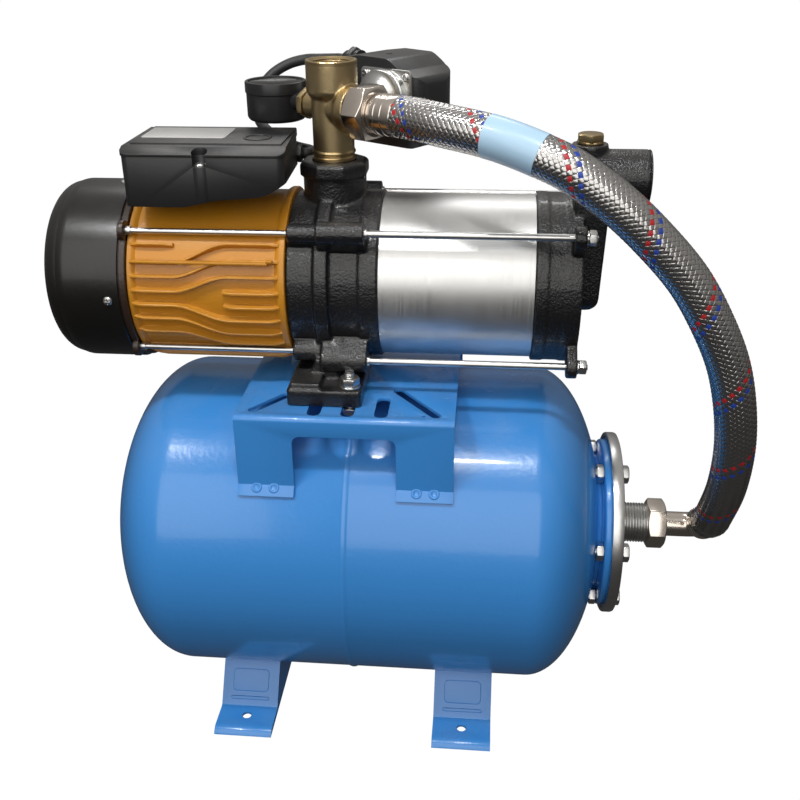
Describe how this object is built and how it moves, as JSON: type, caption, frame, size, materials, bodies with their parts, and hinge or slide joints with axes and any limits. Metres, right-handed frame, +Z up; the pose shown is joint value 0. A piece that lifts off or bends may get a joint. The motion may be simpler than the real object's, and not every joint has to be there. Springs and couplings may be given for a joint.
{
  "type": "booster pump set",
  "caption": "Horizontal membrane tank on pressed feet carrying a multistage pump with motor, terminal box, gauge, pressure switch and braided hose.",
  "frame": {"origin": "on the floor, in the middle of the set without its hose and cable; 12 mm right of the tank's weld seam", "axes": "+X along the tank and the pump shaft towards the suction port, +Y away from the side with the hose, +Z up"},
  "size_m": [0.5231, 0.2622, 0.5206],
  "materials": {
    "tank_paint": "glossy powder coat",
    "membrane_rubber": "matt",
    "valve_brass": "machined",
    "cap_plastic": "matt",
    "zinc_steel": "zinc plated",
    "pump_iron": "glossy black paint on a fine cast skin",
    "shield_iron": "dark paint",
    "cover_paint": "satin black paint",
    "motor_paint": "glossy amber paint",
    "bright_steel": "bright, finely brushed",
    "wheel_steel": "dull",
    "winding": "varnished copper over laminations",
    "seal": "lapped",
    "fan_plastic": "matt",
    "box_plastic": "satin",
    "capacitor_can": "satin",
    "fitting_brass": "dull",
    "gauge_plastic": "satin",
    "gauge_lens": "clear",
    "needle_paint": "matt",
    "switch_plastic": "satin",
    "nickel_brass": "nickel plated",
    "steel_braid": "woven braid",
    "cable_rubber": "matt"
  },
  "bodies": {
    "set": {"tank_shell": "tank_paint", "tank_foot_left": "tank_paint", "tank_foot_right": "tank_paint", "pump_platform": "tank_paint", "tank_membrane": "membrane_rubber", "air_valve": "valve_brass", "priming_plug": "valve_brass", "valve_cap": "cap_plastic", "counter_flange": "zinc_steel", "flange_nipple": "zinc_steel", "flange_bolt_1": "zinc_steel", "flange_bolt_2": "zinc_steel", "flange_bolt_3": "zinc_steel", "flange_bolt_4": "zinc_steel", "flange_bolt_5": "zinc_steel", "flange_bolt_6": "zinc_steel", "foot_bolt_front": "zinc_steel", "foot_bolt_rear": "zinc_steel", "pump_tie_rod_1": "zinc_steel", "pump_tie_rod_2": "zinc_steel", "pump_tie_rod_3": "zinc_steel", "pump_tie_rod_4": "zinc_steel", "motor_tie_rod_1": "zinc_steel", "motor_tie_rod_2": "zinc_steel", "motor_tie_rod_3": "zinc_steel", "motor_tie_rod_4": "zinc_steel", "switch_flange": "zinc_steel", "discharge_body": "pump_iron", "suction_body": "pump_iron", "rear_end_shield": "shield_iron", "fan_cover": "cover_paint", "motor_frame": "motor_paint", "pump_sleeve": "bright_steel", "bearing_front": "bright_steel", "bearing_rear": "bright_steel", "diffuser_1": "bright_steel", "diffuser_2": "bright_steel", "diffuser_3": "bright_steel", "stator_core": "winding", "mechanical_seal": "seal", "terminal_box": "box_plastic", "terminal_lid": "box_plastic", "run_capacitor": "capacitor_can", "five_way_fitting": "fitting_brass", "gauge_case": "gauge_plastic", "gauge_lens": "gauge_lens", "switch_cover": "switch_plastic", "hose_nut_upper": "nickel_brass", "hose_nut_lower": "nickel_brass", "hose_tail_upper": "nickel_brass", "hose_elbow": "nickel_brass", "braided_hose": "steel_braid", "switch_cable": "cable_rubber"},
    "rotor": {"motor_shaft": "bright_steel", "rotor_core": "wheel_steel", "cooling_fan": "fan_plastic", "impeller_1": "wheel_steel", "impeller_2": "wheel_steel", "impeller_3": "wheel_steel"},
    "needle": {"gauge_needle": "needle_paint"}
  },
  "joints": [
    {"name": "rotor_spin", "type": "hinge", "parent": "set", "child": "rotor", "pos_m": [0, 0, 0.364], "axis": [1, 0, 0], "continuous": true},
    {"name": "needle_sweep", "type": "hinge", "parent": "set", "child": "needle", "pos_m": [-0.07447, 0.03338, 0.4968], "axis": [0, 0, -1], "range_deg": [0, 270]}
  ]
}
